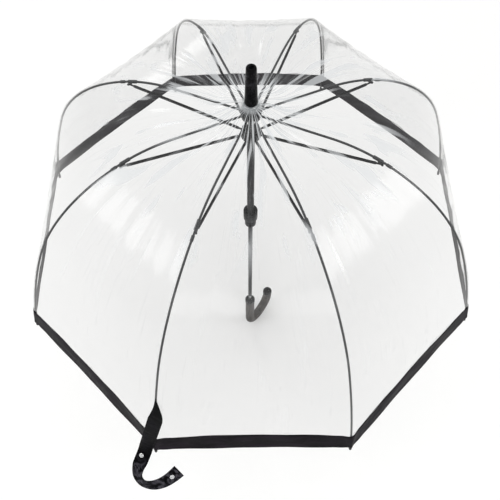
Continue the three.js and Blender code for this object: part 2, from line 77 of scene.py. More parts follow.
# One output of a shader node. Sums on it add their own Math nodes.
class Signal:
    def __init__(self, paint, socket):
        self.paint = paint
        self.socket = socket

    def maths(self, operation, first, second):
        return self.paint.add("ShaderNodeMath", {"operation": operation}, {0: first, 1: second})

    def __add__(self, other):
        return self.maths("ADD", self, other)

    def __sub__(self, other):
        return self.maths("SUBTRACT", self, other)

    def __rsub__(self, other):
        return self.maths("SUBTRACT", other, self)

    def __mul__(self, other):
        return self.maths("MULTIPLY", self, other)

    __radd__ = __add__
    __rmul__ = __mul__

    # 0 below low, 1 above high, and an S curve between them
    def rising(self, low, high):
        settings = {"interpolation_type": "SMOOTHSTEP"}
        inputs = {"Value": self, "From Min": low, "From Max": high}
        return self.paint.add("ShaderNodeMapRange", settings, inputs)

    def atMost(self, limit):
        return self.maths("MINIMUM", self, limit)


# A material under construction
class Paint:
    def __init__(self, name):
        self.material = bpy.data.materials.new(name)
        self.material.use_nodes = True
        self.tree = self.material.node_tree
        self.tree.nodes.clear()

    def add(self, kind, settings=None, inputs=None, output=0):
        node = self.tree.nodes.new(kind)
        for name, value in (settings or {}).items():
            setattr(node, name, value)
        for name, value in (inputs or {}).items():
            if isinstance(value, Signal):
                self.tree.links.new(value.socket, node.inputs[name])
            else:
                node.inputs[name].default_value = value
        return Signal(self, node.outputs[output]) if len(node.outputs) else None

    # The piece's own place in space, or its UV map, stretched by scale
    def place(self, scale=(1, 1, 1), source="Object", turn=(0, 0, 0)):
        where = self.add("ShaderNodeTexCoord", output={"Object": 3, "UV": 2}[source])
        return self.add("ShaderNodeMapping", {}, {"Vector": where, "Scale": scale, "Rotation": turn})

    def noise(self, where, scale=1.0, detail=2.0, roughness=0.5, distortion=0.0):
        inputs = {"Vector": where, "Scale": scale, "Detail": detail, "Roughness": roughness}
        return self.add("ShaderNodeTexNoise", {}, {**inputs, "Distortion": distortion})

    def cells(self, where, scale=1.0):
        return self.add("ShaderNodeTexVoronoi", {}, {"Vector": where, "Scale": scale})

    def blend(self, share, first, second):
        return self.add("ShaderNodeMix", {"data_type": "RGBA"}, {0: share, 6: first, 7: second}, output=2)

    def bump(self, height, distance, strength=1.0):
        return self.add("ShaderNodeBump", {}, {"Height": height, "Distance": distance, "Strength": strength})

    def surface(self, **inputs):
        named = {self.spaced(key): value for key, value in inputs.items()}
        return self.add("ShaderNodeBsdfPrincipled", {}, named)

    # specularIorLevel is the socket Specular IOR Level
    def spaced(self, key):
        words = "".join(" " + letter if letter.isupper() else letter for letter in key).title()
        return words.replace("Ior", "IOR")

    def finish(self, shader):
        self.add("ShaderNodeOutputMaterial", {}, {"Surface": shader})
        return self.material


def colour(text):
    parts = [int(text[i:i + 2], 16) / 255 for i in (0, 2, 4)]
    linear = [part / 12.92 if part <= 0.04045 else ((part + 0.055) / 1.055) ** 2.4 for part in parts]
    return (*linear, 1.0)


# Clear film: mostly a hole with a faint tint. What is on it is gloss, a little haze, creases that run
# from the crown to the hem, and painted glare: white streaks and threads along the creases, a white cover
# over the crown and the gathered film, and broad white glints. UV is (gores round the canopy, metres along
# the rib).
film = {
    "tint": "f1f1f1", "haze": 0.012, "gloss": 0.75, "glossRoughness": 0.14, "mostCover": 0.93,
    # The streak, thread, crown, gather and glare amounts are painted glare; haze is the film's own
    "glareStreak": 0.18, "glareStreakNearCrown": 0.4, "glareThread": 0.08, "glareThreadNearCrown": 0.12,
    "crownGlare": 0.75, "gatherGlare": 0.85, "glare": 0.55,
    "seamHalf": 0.0035, "seamHaze": 0.05, "offset": 0.0033,
}


def filmPaint():
    paint = Paint("clearFilm")
    creases = paint.noise(paint.place((11, 4.5, 1), "UV"), 1, 3, 0.55, 0.6)
    hairs = paint.noise(paint.place((34, 7, 1), "UV"), 1, 2, 0.6, 0.4)
    patches = paint.noise(paint.place((2.2, 9, 1), "UV", (0, 0, 0.5)), 1, 2, 0.5, 0.8)
    # Painted glare: white streaks along the creases and finer white threads, in patches
    glareStreaks = creases.rising(0.55, 0.74) * patches.rising(0.42, 0.62)
    glareThreads = hairs.rising(0.6, 0.78) * patches.rising(0.36, 0.6)
    # Painted glare: a white cover thick over the crown, on the gathered film just below it, and broad white
    # glints on the shoulders
    distance = paint.add("ShaderNodeSeparateXYZ", {}, {0: paint.add("ShaderNodeUVMap")}, output=1)
    nearCrown = 1 - distance.rising(0.04, 0.34)
    crown = 1 - distance.rising(-0.003, 0.010)
    pleats = paint.noise(paint.place((15, 6, 1), "UV"), 1, 2, 0.5).rising(0.5, 0.58)
    gatherGlare = (1 - distance.rising(0.02, 0.09)) * pleats
    glints = paint.noise(paint.place((6, 9, 1), "UV", (0, 0, 0.35)), 1, 2, 0.5, 0.7).rising(0.55, 0.63)
    glare = glints * distance.rising(0.02, 0.06) * (1 - distance.rising(0.19, 0.28))
    seam = paint.add("ShaderNodeAttribute", {"attribute_name": "fromRib"}, output=2)
    seamBand = 1 - seam.rising(film["seamHalf"] * 0.9, film["seamHalf"] * 1.1)
    mirror = paint.add("ShaderNodeFresnel", {}, {"IOR": 1.5}) * film["gloss"]
    # How much of the film shows as white skin: its own faint haze and seam welds, and the painted glare
    cover = (
        film["haze"]
        + glareStreaks * (film["glareStreak"] + nearCrown * film["glareStreakNearCrown"])
        + glareThreads * (film["glareThread"] + nearCrown * film["glareThreadNearCrown"])
        + glare * film["glare"]
        + crown * film["crownGlare"] + gatherGlare * film["gatherGlare"]
        + seamBand * film["seamHaze"]
    ).atMost(film["mostCover"])
    # The film's white skin is whiter still along the painted glare streaks
    white = paint.blend(glareStreaks, colour("dfe2e4"), colour("ffffff"))
    creased = paint.bump(creases * 0.7 + hairs * 0.3, 0.0025, 0.4)
    skin = paint.surface(baseColor=white, roughness=0.35, specularIorLevel=0.3, normal=creased)
    clear = paint.add("ShaderNodeBsdfTransparent", {}, {"Color": colour(film["tint"])})
    body = paint.add("ShaderNodeMixShader", {}, {0: cover, 1: clear, 2: skin})
    gloss = paint.surface(
        baseColor=(1, 1, 1, 1), metallic=1.0, roughness=film["glossRoughness"], normal=creased,
    )
    return paint.finish(paint.add("ShaderNodeMixShader", {}, {0: mirror, 1: body, 2: gloss}))


# Black lacquer on drawn steel rod: faint marks and duller rubbed patches
def steelPaint(name, dark, light, roughness, metallic):
    paint = Paint(name)
    marks = paint.noise(paint.place(), 900, 3, 0.6)
    rubbed = paint.noise(paint.place(), 24, 4, 0.6).rising(0.45, 0.7)
    base = paint.blend(rubbed, colour(dark), colour(light))
    return paint.finish(paint.surface(
        baseColor=base, roughness=roughness + rubbed * 0.14, metallic=metallic, specularIorLevel=0.12,
        normal=paint.bump(marks, 0.00006, 0.5),
    ))


# Moulded black plastic with a faint orange peel and finer dust in the gloss
def plasticPaint(name, dark, roughness, specular, coat=0.0):
    paint = Paint(name)
    peel = paint.noise(paint.place(), 420, 2, 0.5)
    dust = paint.noise(paint.place(), 90, 4, 0.65).rising(0.5, 0.8)
    base = paint.blend(dust, colour(dark), colour("2b2b2f"))
    return paint.finish(paint.surface(
        baseColor=base, roughness=roughness + dust * 0.12, specularIorLevel=specular, coatWeight=coat,
        coatRoughness=0.06, normal=paint.bump(peel, 0.00012, 0.4),
    ))


# Black vinyl: satin, with soft creases across it. Its UV is in metres, (along, across), and where along is
# past mottleFrom it is creased through to charcoal
def vinylPaint(name, dark, light, roughness, crease, mottleFrom):
    paint = Paint(name)
    folds = paint.noise(paint.place((70, 26, 1), "UV", (0, 0, 0.35)), 1, 3, 0.5, 1.2)
    waves = paint.noise(paint.place((22, 60, 1), "UV"), 1, 2, 0.5, 0.6)
    mottle = paint.noise(paint.place((75, 60, 1), "UV", (0, 0, 0.5)), 1, 3, 0.6, 1.4).rising(0.42, 0.66)
    grain = paint.noise(paint.place(), 1600, 2, 0.5)
    along = paint.add("ShaderNodeSeparateXYZ", {}, {0: paint.add("ShaderNodeUVMap")}, output=0)
    creased = mottle * along.rising(mottleFrom, mottleFrom + 0.03)
    worn = waves.rising(0.42, 0.72)
    base = paint.blend(worn, colour(dark), colour(light))
    base = paint.blend(creased * 0.7, base, colour("55535a"))
    height = folds * 0.7 + waves * 0.6 + grain * 0.04
    return paint.finish(paint.surface(
        baseColor=base, roughness=roughness + worn * 0.16, specularIorLevel=0.015,
        normal=paint.bump(height, crease, 0.7),
    ))


# Marbled handle plastic: brown-black with clouds and small pale flecks
def marblePaint():
    paint = Paint("marbledPlastic")
    clouds = paint.noise(paint.place((1, 1, 0.6)), 130, 4, 0.65, 0.8)
    flecks = paint.noise(paint.place(), 520, 3, 0.7)
    specks = 1 - paint.cells(paint.place(), 260).rising(0.12, 0.3)
    base = paint.blend(clouds.rising(0.36, 0.66), colour("151311"), colour("443e39"))
    base = paint.blend(flecks.rising(0.52, 0.68) * 0.7, base, colour("6e665e"))
    base = paint.blend(specks * flecks.rising(0.45, 0.6), base, colour("0c0b0a"))
    return paint.finish(paint.surface(
        baseColor=base, roughness=0.3 + flecks * 0.22, specularIorLevel=0.08, coatWeight=0.03,
        coatRoughness=0.12, normal=paint.bump(clouds * 0.6 + flecks * 0.4, 0.0004, 0.45),
    ))


# Bright plated steel with fine scratches
def brightPaint():
    paint = Paint("brightSteel")
    scratches = paint.noise(paint.place((1, 6, 1)), 1500, 3, 0.7)
    stains = paint.noise(paint.place(), 300, 3, 0.6).rising(0.4, 0.8)
    base = paint.blend(stains, colour("d9dadc"), colour("a3a19c"))
    return paint.finish(paint.surface(
        baseColor=base, metallic=1.0, roughness=0.16 + stains * 0.18,
        normal=paint.bump(scratches, 0.00004, 0.5),
    ))


def washerPaint():
    paint = Paint("clearPlastic")
    clouds = paint.noise(paint.place(), 260, 3, 0.6).rising(0.35, 0.7)
    skin = paint.surface(baseColor=paint.blend(clouds, colour("c9cdd0"), colour("ffffff")), roughness=0.15)
    clear = paint.add("ShaderNodeBsdfTransparent", {}, {"Color": colour("f4f6f7")})
    return paint.finish(paint.add("ShaderNodeMixShader", {}, {0: 0.35 + clouds * 0.3, 1: clear, 2: skin}))


materials = {
    "film": filmPaint(),
    "rib": steelPaint("blackRibSteel", "0b0c0e", "191b1d", 0.3, 0.15),
    "stretcher": steelPaint("blackStretcherSteel", "0e0f11", "222427", 0.36, 0.2),
    "shaft": steelPaint("blackShaftSteel", "1b1c1e", "3c3e41", 0.3, 0.4),
    "plastic": plasticPaint("mouldedBlack", "0a0a0c", 0.34, 0.07),
    "gloss": plasticPaint("glossBlack", "050506", 0.16, 0.06, 0.02),
    "hem": vinylPaint("hemVinyl", "0f0c11", "221d24", 0.36, 0.0012, 9),
    "strap": vinylPaint("strapVinyl", "060607", "121115", 0.3, 0.0016, 0.19),
    "handle": marblePaint(),
    "bright": brightPaint(),
    "washer": washerPaint(),
}
print("materials made")


def gridFaces(rows, columns, roundColumns=False, flip=False):
    # Quads between neighbouring points of a grid; the columns meet their own start if the grid is round
    row = np.arange(rows - 1)[:, None] * columns
    below = row + columns
    column = np.arange(columns if roundColumns else columns - 1)[None, :]
    after = (column + 1) % columns
    corners = [row + column, below + column, below + after, row + after]
    faces = np.stack([np.broadcast_to(c, (rows - 1, column.shape[1])) for c in corners], -1).reshape(-1, 4)
    return faces[:, ::-1] if flip else faces


# A part of a piece: its points, its faces, its UVs. Parts are joined by piece().
def sheetPart(points, uv, flip=False):
    rows, columns = points.shape[:2]
    return points.reshape(-1, 3), [gridFaces(rows, columns, flip=flip)], uv.reshape(-1, 2)


def tubePart(rings, uv=None, flip=False):
    # A closed skin over rings of points, with a flat face on each end
    rows, columns = rings.shape[:2]
    first = np.arange(columns)[None, :]
    last = (rows - 1) * columns + first
    ends = [first[:, ::-1], last] if flip else [first, last[:, ::-1]]
    if uv is None:
        uv = np.zeros((rows, columns, 2))
    return rings.reshape(-1, 3), [gridFaces(rows, columns, True, flip), *ends], uv.reshape(-1, 2)


def piece(name, parts, material, smoothUnder=40, weld=True, attributes=None):
    points, faces, uvs, offset = [], [], [], 0
    for partPoints, partFaces, partUvs in parts:
        faces += [tuple(face) for block in partFaces for face in (block + offset).tolist()]
        points.append(partPoints)
        uvs.append(partUvs)
        offset += len(partPoints)
    mesh = bpy.data.meshes.new(name)
    mesh.from_pydata(np.concatenate(points).tolist(), [], faces)
    corner = np.zeros(len(mesh.loops), np.int64)
    mesh.loops.foreach_get("vertex_index", corner)
    layer = mesh.uv_layers.new(name="UVMap")
    layer.data.foreach_set("uv", np.concatenate(uvs)[corner].astype(np.float32).ravel())
    for key, values in (attributes or {}).items():
        attribute = mesh.attributes.new(key, "FLOAT", "POINT")
        attribute.data.foreach_set("value", values.astype(np.float32).ravel())
    mesh.shade_smooth()
    if weld:
        weldMesh(mesh)
    mesh.set_sharp_from_angle(angle=math.radians(smoothUnder))
    mesh.materials.append(material)
    thing = bpy.data.objects.new(name, mesh)
    scene.collection.objects.link(thing)
    return thing


def weldMesh(mesh, distance=1e-6):
    work = bmesh.new()
    work.from_mesh(mesh)
    bmesh.ops.remove_doubles(work, verts=work.verts, dist=distance)
    bmesh.ops.dissolve_degenerate(work, edges=work.edges, dist=distance / 10)
    work.to_mesh(mesh)
    work.free()


def turnedBy(points, angle):
    # Points turned about +Z by an angle in radians
    c, s = math.cos(angle), math.sin(angle)
    return points @ np.array([[c, s, 0], [-s, c, 0], [0, 0, 1]])


def leanedBy(points, slope):
    # Points whose +X is turned down by a slope in radians
    c, s = math.cos(slope), math.sin(slope)
    return points @ np.array([[c, 0, -s], [0, 1, 0], [s, 0, c]])


def rounded(corners, radius, steps=4):
    # An outline whose inner corners are each a short curve: (1-t)^2 a + 2t(1-t) corner + t^2 b
    corners = np.asarray(corners, float)
    t = np.linspace(0, 1, steps + 1)[:, None]
    outline = [corners[:1]]
    for before, corner, after in zip(corners, corners[1:], corners[2:]):
        spans = [np.linalg.norm(end - corner) for end in (before, after)]
        reach = min(radius, *[span / 2 for span in spans])
        a = corner + (before - corner) / spans[0] * reach
        b = corner + (after - corner) / spans[1] * reach
        outline.append((1 - t) ** 2 * a + 2 * t * (1 - t) * corner + t ** 2 * b)
    outline.append(corners[-1:])
    return np.concatenate(outline)


def lathePart(corners, radius=0.0004, sides=48, steps=4):
    # An outline of (radius, height) turned about +Z: x = r cos a, y = r sin a
    outline = rounded(corners, radius, steps)
    turn = np.linspace(0, 2 * math.pi, sides, endpoint=False)
    r, z = outline[:, 0][:, None], outline[:, 1][:, None]
    rings = np.stack([r * np.cos(turn), r * np.sin(turn), z + 0 * turn], -1)
    faces = [gridFaces(len(outline), sides, True, flip=True)]
    uv = np.stack(np.broadcast_arrays(turn[None, :] * r.max(), z), -1).reshape(-1, 2)
    return rings.reshape(-1, 3), faces, uv


def moved(part, change):
    points, faces, uv = part
    return change(points), faces, uv


# The rib's line is arcs that run on from each other: (length, slope at its end in degrees below level)
rib = {
    "count": 8, "firstAngle": -112.5, "pivotRadius": 0.013, "hubHeight": 0.728, "radius": 0.00175,
    "startSlope": 0.3, "arcs": ((0.110, 0.3), (0.085, 23.2), (0.233, 67.0), (0.234, 78.8)),
    "sleeveRadius": 0.0027, "sleeveLength": 0.016, "sleeveBack": 0.003, "sides": 14,
    "capLength": 0.012, "capRadius": 0.0026, "capMouth": 0.0021, "gap": 0.0005,
    "bandRadius": 0.0025, "bandLength": 0.009, "bandAt": 0.0085,
    "lugFrom": 0.00115, "lugTo": 0.002, "pinRadius": 0.0012, "pinHalf": 0.0026,
    "eye": {"outer": 0.0024, "inner": 0.0008, "half": 0.0012},
}
jointAt = rib["arcs"][0][0] + rib["arcs"][1][0]
elbowAt = jointAt + rib["arcs"][2][0]
ribEnd = elbowAt + rib["arcs"][3][0]
halfGore = math.pi / rib["count"]
ribAngles = [math.radians(rib["firstAngle"]) + 2 * halfGore * k for k in range(rib["count"])]


def ribLine(distance, lift=0.0):
    # Along an arc the point moves out by the change in the slope's sine, and down by the change in its
    # cosine, each over the bend per metre. The first and last arcs run on past their ends.
    distance = np.asarray(distance, float)
    x = np.full(distance.shape, rib["pivotRadius"])
    z = np.full(distance.shape, rib["hubHeight"])
    slope = np.full(distance.shape, math.radians(rib["startSlope"]))
    start, before = 0.0, rib["startSlope"]
    for i, (length, after) in enumerate(rib["arcs"]):
        low = -1.0 if i == 0 else 0.0
        high = 1.0 if i == len(rib["arcs"]) - 1 else length
        run = np.clip(distance - start, low, high)
        first, bend = math.radians(before), math.radians(after - before) / length
        if abs(bend) < 1e-9:
            x = x + run * math.cos(first)
            z = z - run * math.sin(first)
        else:
            x = x + (np.sin(first + bend * run) - math.sin(first)) / bend
            z = z + (np.cos(first + bend * run) - math.cos(first)) / bend
        slope = slope + bend * run
        start, before = start + length, after
    return x + lift * np.sin(slope), z + lift * np.cos(slope), slope


def roundRod(start, end, radius, steps):
    # Rings square to the rib's line. Each end closes in a half round: radius sin a wide, radius cos a on
    nose = np.linspace(0.12, 1, 5)[:-1] * math.pi / 2
    back = start - radius * np.cos(nose)
    front = end + radius * np.cos(nose)[::-1]
    distance = np.concatenate([back, np.linspace(start, end, steps), front])
    radii = np.concatenate([radius * np.sin(nose), np.full(steps, radius), radius * np.sin(nose)[::-1]])
    x, z, slope = ribLine(distance)
    turn = np.linspace(0, 2 * math.pi, rib["sides"], endpoint=False)[None, :]
    out, wide = radii[:, None] * np.cos(turn), radii[:, None] * np.sin(turn)
    rings = np.stack([
        x[:, None] + out * np.sin(slope)[:, None], wide, z[:, None] + out * np.cos(slope)[:, None],
    ], -1)
    uv = np.stack(np.broadcast_arrays(distance[:, None], turn * radius), -1)
    return tubePart(rings, uv)


def alongRib(part, middle, drop=0.0):
    # A part made round its own +Z goes to a distance along the rib, its +Z down the rib
    x, z, slope = (float(value) for value in ribLine(middle, -drop))
    points, faces, uv = part
    laid = np.stack([points[:, 2], points[:, 1], -points[:, 0]], -1)
    return leanedBy(laid, slope) + np.array([x, 0, z]), faces, uv


def plate(outline, low, high, bevel=0.0003):
    # A flat plate in X and Z with eased edges, from low to high in Y; the outline runs round it
    outline = np.asarray(outline, float)
    heart = outline.mean(0)
    arms = outline - heart
    small = heart + arms * (1 - bevel / np.linalg.norm(arms, axis=1).mean())
    rings = [(small, low), (outline, low + bevel), (outline, high - bevel), (small, high)]
    points = np.array([[[x, y, z] for x, z in shape] for shape, y in rings])
    return tubePart(points)


def eyeRing(outer, inner, half):
    # A short ring about Y, round the wire that it swings on
    profile = [[inner, -half], [outer, -half], [outer, half], [inner, half], [inner, -half]]
    points, faces, uv = lathePart(profile, 0.0003, 24, 3)
    return np.stack([points[:, 0], points[:, 2], -points[:, 1]], -1), faces, uv


def mirrored(part):
    # The other side's copy: Y turned over, and each face run the other way
    points, faces, uv = part
    return points * [1, -1, 1], [block[:, ::-1] for block in faces], uv


def placed(part, x, z, slope=0.0):
    points, faces, uv = part
    return leanedBy(points, slope) + np.array([x, 0, z]), faces, uv


def sleeve(radius, length, easing=0.0006, sides=20, steps=4):
    half = length / 2
    return lathePart([[0, -half], [radius, -half], [radius, half], [0, half]], easing, sides, steps)


# The stretcher's pin hangs below the rib's line, between two lugs
stretcherDrop = 0.0048
stretcherX, stretcherZ, jointSlope = (float(value) for value in ribLine(jointAt, -stretcherDrop))


def ribInnerParts():
    lug = plate([
        [-0.0095, 0.0012], [0.0005, -0.002], [0.0018, -0.0006], [0.0018, 0.0009], [0.0004, 0.0021],
        [-0.009, 0.0052],
    ], rib["lugFrom"], rib["lugTo"])
    points, faces, uv = sleeve(rib["pinRadius"], 2 * rib["pinHalf"], 0.0003, 14, 3)
    pin = points[:, [0, 2, 1]] * [1, -1, 1], faces, uv
    sleeveMiddle = jointAt - rib["sleeveBack"] - rib["sleeveLength"] / 2
    return [
        roundRod(rib["eye"]["outer"], jointAt - rib["gap"], rib["radius"], 36),
        placed(eyeRing(**rib["eye"]), rib["pivotRadius"], rib["hubHeight"]),
        alongRib(sleeve(rib["sleeveRadius"], rib["sleeveLength"]), sleeveMiddle),
        placed(lug, stretcherX, stretcherZ, jointSlope),
        placed(mirrored(lug), stretcherX, stretcherZ, jointSlope),
        placed(pin, stretcherX, stretcherZ),
    ]


def ribMiddleParts():
    return [
        roundRod(jointAt + rib["gap"], elbowAt, rib["radius"], 40),
        alongRib(sleeve(rib["bandRadius"], rib["bandLength"]), jointAt + rib["bandAt"]),
    ]


def ribOuterParts():
    return [roundRod(elbowAt, ribEnd - rib["capLength"] + 0.001, rib["radius"], 36)]


def ribCapParts():
    # A moulded cap that tapers to a rounded nose at the rib's tip
    length, radius = rib["capLength"], rib["capRadius"]
    body = lathePart([
        [0, 0], [rib["capMouth"], 0], [radius, 0.001], [radius, length * 0.72],
        [radius * 0.86, length * 0.92], [radius * 0.4, length], [0, length],
    ], 0.0012, 24, 5)
    return [alongRib(body, ribEnd - length)]


stretcher = {
    "length": math.hypot(stretcherX - rib["pivotRadius"], rib["hubHeight"] - stretcherZ),
    "half": 0.0017, "web": 0.0005, "innerEnd": 0.014, "outerEnd": 0.026, "lap": 0.001, "cut": 0.0004,
    "mould": 0.0019, "tongue": (0.00085, 0.0015),
    "innerEye": {"outer": 0.0022, "inner": 0.0008, "half": 0.0012},
    "outerEye": {"outer": 0.0015, "inner": 0.00105, "half": 0.00085},
}
stretcherSlope = math.asin((rib["hubHeight"] - stretcherZ) / stretcher["length"])
runnerHeight = rib["hubHeight"] - 2 * stretcher["length"] * math.sin(stretcherSlope)


def bar(stops, sides=20, power=4):
    # A bar along X: each stop is (x, half width, half height), and its section is |y/w|^p + |z/h|^p = 1
    turn = np.linspace(0, 2 * math.pi, sides, endpoint=False)
    c, s = np.cos(turn), np.sin(turn)
    y = np.sign(c) * np.abs(c) ** (2 / power)
    z = np.sign(s) * np.abs(s) ** (2 / power)
    stops = np.asarray(stops, float)
    rings = np.stack([stops[:, :1] + 0 * y, stops[:, 1:2] * y, stops[:, 2:3] * z], -1)
    return tubePart(rings, flip=True)


def stretcherParts():
    # A channel with its open side up, in moulded ends that swing on the runner's wire and the rib's pin
    length, half, web, cut = (stretcher[key] for key in ("length", "half", "web", "cut"))
    mould, tongue, lap = stretcher["mould"], stretcher["tongue"], stretcher["lap"]
    y, z = np.array([
        [-half, -half + cut], [-half + cut, -half], [half - cut, -half], [half, -half + cut],
        [half, half], [half - web, half], [half - web, -half + web], [-half + web, -half + web],
        [-half + web, half], [-half, half],
    ]).T
    x = np.linspace(stretcher["innerEnd"] - lap, length - stretcher["outerEnd"] + lap, 12)
    channel = np.stack(np.broadcast_arrays(x[:, None], y, z), -1)
    innerEnd = [
        (0.0021, 0.0011, 0.0014), (0.007, 0.0012, 0.0016), (0.0085, mould, mould), (0.0145, mould, mould),
        (0.0152, mould * 0.9, mould * 0.9),
    ]
    outerEnd = [
        (length - 0.0265, mould * 0.85, mould * 0.85), (length - 0.0255, mould, mould),
        (length - 0.010, mould, mould), (length - 0.0085, *tongue), (length - 0.0012, *tongue),
    ]
    return [
        tubePart(channel, flip=True),
        eyeRing(**stretcher["innerEye"]),
        bar(innerEnd),
        bar(outerEnd),
        moved(eyeRing(**stretcher["outerEye"]), lambda points: points + [length, 0, 0]),
    ]


def toStretcher(part):
    points, faces, uv = part
    lifted = leanedBy(points, -stretcherSlope)
    return lifted + np.array([rib["pivotRadius"], 0, runnerHeight]), faces, uv


ribKinds = {
    "rib_inner": (ribInnerParts(), "rib", "rib", "rib_inner"),
    "rib_middle": (ribMiddleParts(), "rib", "rib", "rib_middle"),
    "rib_outer": (ribOuterParts(), "rib", "rib", "rib_outer"),
    "rib_cap": (ribCapParts(), "plastic", "black_plastic", "rib_outer"),
    "stretcher": ([toStretcher(part) for part in stretcherParts()], "stretcher", "stretcher", "stretcher"),
}
for k, angle in enumerate(ribAngles):
    for node, (parts, material, slot, body) in ribKinds.items():
        turnedParts = [moved(part, lambda points: turnedBy(points, angle)) for part in parts]
        rod = piece(f"{node}_fine_{k + 1}", turnedParts, materials[material])
        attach(rod, f"{body}_{k + 1}")
        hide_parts(f"{node}_{k + 1}")
print("ribs and stretchers made")


# The film's line stands off the rib's, flat over the crown and easing down to the rib beyond it
crown = {
    "flat": 0.0196, "reach": 0.062, "height": rib["hubHeight"] + 0.0183, "mouth": 0.0056, "petal": 0.020,
    "pleats": 5, "pleatDepth": 0.0006, "pleatAt": 0.0125, "pleatWide": 0.005,
    "ring": 0.0004, "ringAt": 0.0118, "ringWide": 0.003,
    "blendFrom": 0.015, "blendTo": 0.032,
}
canopy = {"archFrom": 0.300, "edge": 0.6027, "arch": 0.011, "columns": 30, "sag": 0.0035, "sagEnd": 0.62}
wrinkles = {
    "deep": 0.0003, "deeper": 0.0007, "crownReach": 0.16, "slant": 0.0009, "hemFrom": 0.34, "hemLong": 0.2,
}


def filmLine(distance, lift):
    x, z, slope = ribLine(distance, lift)
    share = np.clip((x - crown["flat"]) / (crown["reach"] - crown["flat"]), 0, 1)
    ease = 1 - share * share * (3 - 2 * share)
    flat = ribLine(crown["flat"] - rib["pivotRadius"], lift)[1]
    rise = crown["height"] + lift - film["offset"] - flat
    return x, z + rise * ease, slope


def wrinkle(gore, distance):
    # Shallow waves that run down the gores: sines of (waves a gore) + (waves a metre), strongest by the
    # crown, and slanted ones near the hem. They die out over each rib.
    across = np.sin(math.pi * (gore % 1.0))
    near = np.exp(-np.maximum(distance, 0) / wrinkles["crownReach"])
    far = np.clip((distance - wrinkles["hemFrom"]) / wrinkles["hemLong"], 0, 1)
    turn = 2 * math.pi
    waves = np.sin(turn * (4 * gore + 1.2 * distance))
    waves = waves + 0.8 * np.sin(turn * (7 * gore - 2.1 * distance + 0.3))
    slant = np.sin(turn * (2 * gore + 9 * distance)) * np.sin(turn * (3 * gore - 5 * distance + 0.2))
    depth = wrinkles["deep"] + wrinkles["deeper"] * near
    return np.abs(across) ** 0.8 * (waves * depth + slant * wrinkles["slant"] * far)


def goreSheet(side, k, distances, across, lift):
    # Half a gore: straight from the rib's point p to the mid gore's point p(1 - sin^2, sin cos) of the half
    # angle. The mid gore hangs back by the hem's arch, and sags towards the shaft.
    s, w = np.meshgrid(distances, across, indexing="ij")
    archShare = np.clip((s - canopy["archFrom"]) / (canopy["edge"] - canopy["archFrom"]), 0, 1)
    x, z, slope = filmLine(s - canopy["arch"] * archShare * (1 - (1 - w) ** 2), lift)
    sine, cosine = math.sin(halfGore), math.cos(halfGore)
    gore = (k + side * w / 2) % rib["count"]
    hang = canopy["sag"] * np.sin(math.pi * np.clip(s / canopy["sagEnd"], 0, 1)) ** 2 * (1 - (1 - w) ** 2)
    push = wrinkle(gore, s) - hang
    points = np.stack([
        x * (1 - w * sine * sine) + push * np.sin(slope) * cosine,
        side * (w * x * sine * cosine + push * np.sin(slope) * sine),
        z + push * np.cos(slope),
    ], -1)
    return points, np.stack([gore, s], -1), w * x * sine


filmLengths = {
    "inner": {"from": crown["petal"], "to": jointAt, "rows": 34, "keep": 0.085, "body": "rib_inner"},
    "middle": {"from": jointAt, "to": elbowAt, "rows": 40, "keep": 0.07, "body": "rib_middle"},
    "outer": {"from": elbowAt, "to": canopy["edge"], "rows": 36, "keep": 0.055, "body": "rib_outer"},
}


def foldsToRib(thing, side, angle, start, end, lift):
    # The axis of the half gore's fold, the line to its mid gore less what of that runs along the rib's
    # chord, and its anchor are worked out but not used: the piece only gets its own copy of its mesh
    x, z, _ = filmLine(np.array([start, (start + end) / 2, end]), lift)
    chord = np.array([x[2] - x[0], 0, z[2] - z[0]])
    chord /= np.linalg.norm(chord)
    over = np.array([-math.sin(halfGore), side * math.cos(halfGore), 0])
    axis = over - over.dot(chord) * chord
    anchor = np.array([(x[0] + 2 * x[1] + x[2]) / 4, 0, (z[0] + 2 * z[1] + z[2]) / 4])
    axis, anchor = turnedBy(np.array([axis / np.linalg.norm(axis), anchor]), angle)
    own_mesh(thing)


def makeFilm():
    columns = np.linspace(0, 1, canopy["columns"])
    lift = film["offset"] + 0.00015
    for k, angle in enumerate(ribAngles):
        for side in (1, -1):
            for name, length in filmLengths.items():
                rows = np.linspace(length["from"], length["to"], length["rows"])
                points, uv, fromRib = goreSheet(side, k, rows, columns, lift)
                label = f"film_{name}_{k + 1}_{'left' if side < 0 else 'right'}"
                part = sheetPart(turnedBy(points, angle), uv, flip=side < 0)
                gore = piece(label, [part], materials["film"], 180, False, {"fromRib": fromRib})
                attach(gore, f"{length['body']}_{k + 1}")
                foldsToRib(gore, side, angle, length["from"], length["to"], lift)
                widths = ribLine(rows)[0] * math.sin(halfGore)
                long = length["to"] - length["from"]
                area = float(widths.mean() * long)
                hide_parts("canopy")
        makePetal(k, angle, lift)


